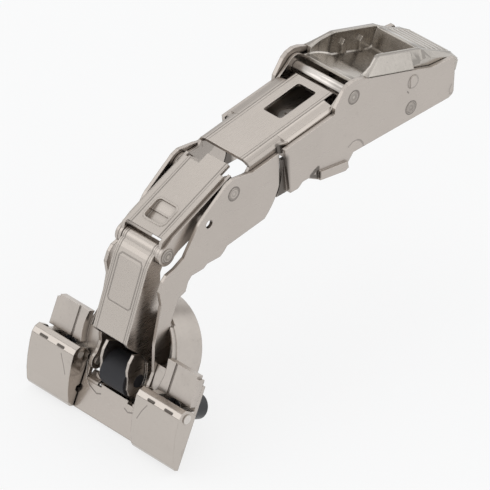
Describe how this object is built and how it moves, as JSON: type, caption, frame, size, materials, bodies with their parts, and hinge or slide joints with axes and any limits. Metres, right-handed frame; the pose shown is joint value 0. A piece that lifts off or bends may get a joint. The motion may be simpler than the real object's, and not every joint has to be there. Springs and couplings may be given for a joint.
{
  "type": "concealed cup hinge",
  "caption": "Wide-angle concealed cabinet door hinge with a clip-on arm, folding levers, a door cup with a damper, and press-in dowels, shown open.",
  "frame": {"origin": "on the arm's seat plane, under the arm pin, on the hinge's centre plane", "axes": "+X from the arm towards the cup along the seat, +Y across the hinge, +Z away from the seat"},
  "size_m": [0.1412, 0.0646, 0.0879],
  "materials": {
    "satin_nickel": "satin nickel-plated steel sheet",
    "cast_nickel": "satin nickel-plated zinc casting",
    "bright_pin": "bright nickel-plated rivet steel",
    "spring_steel": "oiled steel",
    "black_plastic": "black nylon, slightly glossy"
  },
  "bodies": {
    "arm": {"arm": "satin_nickel", "arm_pin": "bright_pin", "clip_rivet": "bright_pin", "clip_spring": "spring_steel"},
    "clip_lever": {"clip_lever": "cast_nickel"},
    "depth_screw": {"depth_screw": "spring_steel"},
    "side_screw": {"side_screw": "spring_steel"},
    "rear_lever": {"rear_lever": "satin_nickel"},
    "long_lever": {"long_lever_left": "satin_nickel", "long_lever_right": "satin_nickel", "middle_rivet": "bright_pin"},
    "front_lever": {"front_cover": "satin_nickel", "front_plate_left": "satin_nickel", "front_plate_right": "satin_nickel", "front_pin": "bright_pin"},
    "cup_link": {"cup_link": "satin_nickel", "link_pin_left": "bright_pin", "link_pin_right": "bright_pin"},
    "cup": {"cup": "satin_nickel", "cup_pin_left": "bright_pin", "cup_pin_right": "bright_pin", "damper_bracket": "satin_nickel", "damper_body": "black_plastic", "damper_slide": "black_plastic", "flange_plate": "satin_nickel", "block_left": "satin_nickel", "block_right": "satin_nickel", "flap_rivet_left": "bright_pin", "flap_rivet_right": "bright_pin", "dowel_left": "black_plastic", "dowel_right": "black_plastic"},
    "flap_left": {"flap_left": "satin_nickel"},
    "flap_right": {"flap_right": "satin_nickel"}
  },
  "joints": [
    {"name": "rear_turn", "type": "hinge", "parent": "arm", "child": "rear_lever", "pos_m": [0, 0, 0.02], "axis": [0, -1, 0], "range_deg": [0, 97.1]},
    {"name": "long_turn", "type": "hinge", "parent": "rear_lever", "child": "long_lever", "pos_m": [0.04959, 0, 0.00809], "axis": [0, -1, 0], "range_deg": [-97.6, 0]},
    {"name": "cup_turn", "type": "hinge", "parent": "long_lever", "child": "cup", "pos_m": [0.08482, 0, -0.04696], "axis": [0, -1, 0], "range_deg": [0, 155.5]},
    {"name": "front_turn", "type": "hinge", "parent": "rear_lever", "child": "front_lever", "pos_m": [0.04959, 0, 0.00809], "axis": [0, -1, 0], "range_deg": [-156.2, 0]},
    {"name": "link_turn", "type": "hinge", "parent": "front_lever", "child": "cup_link", "pos_m": [0.0751, 0, -0.00321], "axis": [0, -1, 0], "range_deg": [0, 104]},
    {"name": "clip_release", "type": "hinge", "parent": "arm", "child": "clip_lever", "pos_m": [-0.0253, 0, 0.0043], "axis": [0, 1, 0], "range_deg": [-7, 0], "stiffness_Nm_per_rad": 0.5},
    {"name": "depth_adjust", "type": "hinge", "parent": "arm", "child": "depth_screw", "pos_m": [-0.014, 0, 0.011], "axis": [0, 0, 1], "continuous": true},
    {"name": "side_adjust", "type": "hinge", "parent": "arm", "child": "side_screw", "pos_m": [0.014, 0, 0.011], "axis": [0, 0, 1], "continuous": true},
    {"name": "flap_left_lift", "type": "hinge", "parent": "cup", "child": "flap_left", "pos_m": [0.08942, 0, -0.04404], "axis": [0, 1, 0], "range_deg": [-35, 0]},
    {"name": "flap_right_lift", "type": "hinge", "parent": "cup", "child": "flap_right", "pos_m": [0.08942, 0, -0.04404], "axis": [0, 1, 0], "range_deg": [-35, 0]}
  ],
  "couplings": [
    {"joint": "long_turn", "follows": "rear_turn", "ratio": -1.0022},
    {"joint": "cup_turn", "follows": "rear_turn", "ratio": 1.5982},
    {"joint": "front_turn", "follows": "rear_turn", "ratio": -1.606},
    {"joint": "link_turn", "follows": "rear_turn", "ratio": 1.0681}
  ]
}
